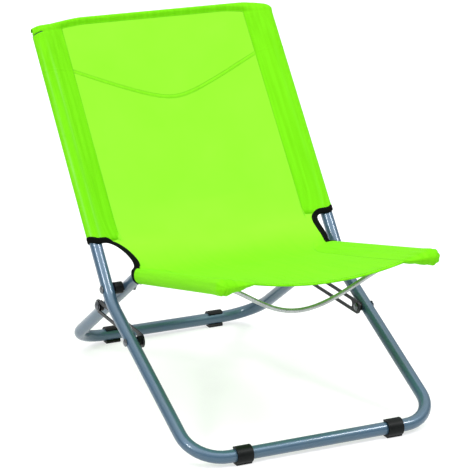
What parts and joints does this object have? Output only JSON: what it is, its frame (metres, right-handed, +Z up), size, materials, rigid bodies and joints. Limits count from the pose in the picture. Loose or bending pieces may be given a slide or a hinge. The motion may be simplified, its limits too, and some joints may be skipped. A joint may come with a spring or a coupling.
{
  "type": "folding camp chair",
  "caption": "Low folding camp chair: two crossed U-shaped tube frames, slotted side links, wire bows, clip feet and one slung fabric seat and backrest.",
  "frame": {"origin": "middle of the chair's footprint, on the surface that the feet stand on", "axes": "+X to the sitter's left, -Y the way the chair faces, +Z up"},
  "size_m": [0.481, 0.7217, 0.6135],
  "materials": {
    "tube_paint": "metallic blue-grey powder coat, semi-gloss",
    "bright_rod": "bright drawn steel rod",
    "zinc_steel": "zinc-plated, satin",
    "dark_steel": "black-painted steel strip",
    "black_plastic": "moulded, lightly textured",
    "green_fabric": "coated plain-weave sling cloth, lime green",
    "black_tape": "woven binding tape"
  },
  "bodies": {
    "back_frame": {"back_frame_tube": "tube_paint", "top_bow_rod": "bright_rod", "back_panel": "green_fabric", "hip_panel": "green_fabric", "hip_binding_left": "black_tape", "hip_binding_right": "black_tape", "top_bushing_left": "black_plastic", "pivot_rivet_left": "zinc_steel", "pivot_spacer_left": "black_plastic", "pivot_washer_left": "zinc_steel", "link_rivet_left": "zinc_steel", "link_spacer_left": "black_plastic", "front_foot_left": "black_plastic", "top_bushing_right": "black_plastic", "pivot_rivet_right": "zinc_steel", "pivot_spacer_right": "black_plastic", "pivot_washer_right": "zinc_steel", "link_rivet_right": "zinc_steel", "link_spacer_right": "black_plastic", "front_foot_right": "black_plastic"},
    "seat_frame": {"seat_frame_tube": "tube_paint", "front_bow_rod": "bright_rod", "seat_panel": "green_fabric", "rail_plug_left": "black_plastic", "slot_pin_left": "zinc_steel", "slot_spacer_left": "black_plastic", "slot_washer_left": "zinc_steel", "rear_foot_left": "black_plastic", "rail_plug_right": "black_plastic", "slot_pin_right": "zinc_steel", "slot_spacer_right": "black_plastic", "slot_washer_right": "zinc_steel", "rear_foot_right": "black_plastic"},
    "link_left": {"link_left": "dark_steel"},
    "link_right": {"link_right": "dark_steel"}
  },
  "joints": [
    {"name": "fold", "type": "hinge", "parent": "back_frame", "child": "seat_frame", "pos_m": [0, 0.038, 0.204], "axis": [-1, 0, 0], "range_deg": [0, 85], "deforming": ["hip_panel", "hip_binding_left", "hip_binding_right"]},
    {"name": "link_left_swing", "type": "hinge", "parent": "back_frame", "child": "link_left", "pos_m": [0.2075, -0.06495, 0.14042], "axis": [-1, 0, 0], "range_deg": [0, 36]},
    {"name": "link_right_swing", "type": "hinge", "parent": "back_frame", "child": "link_right", "pos_m": [-0.2075, -0.06495, 0.14042], "axis": [-1, 0, 0], "range_deg": [0, 36]}
  ],
  "couplings": [
    {"joint": "link_left_swing", "follows": "fold", "ratio": 0.422},
    {"joint": "link_right_swing", "follows": "fold", "ratio": 0.422}
  ]
}
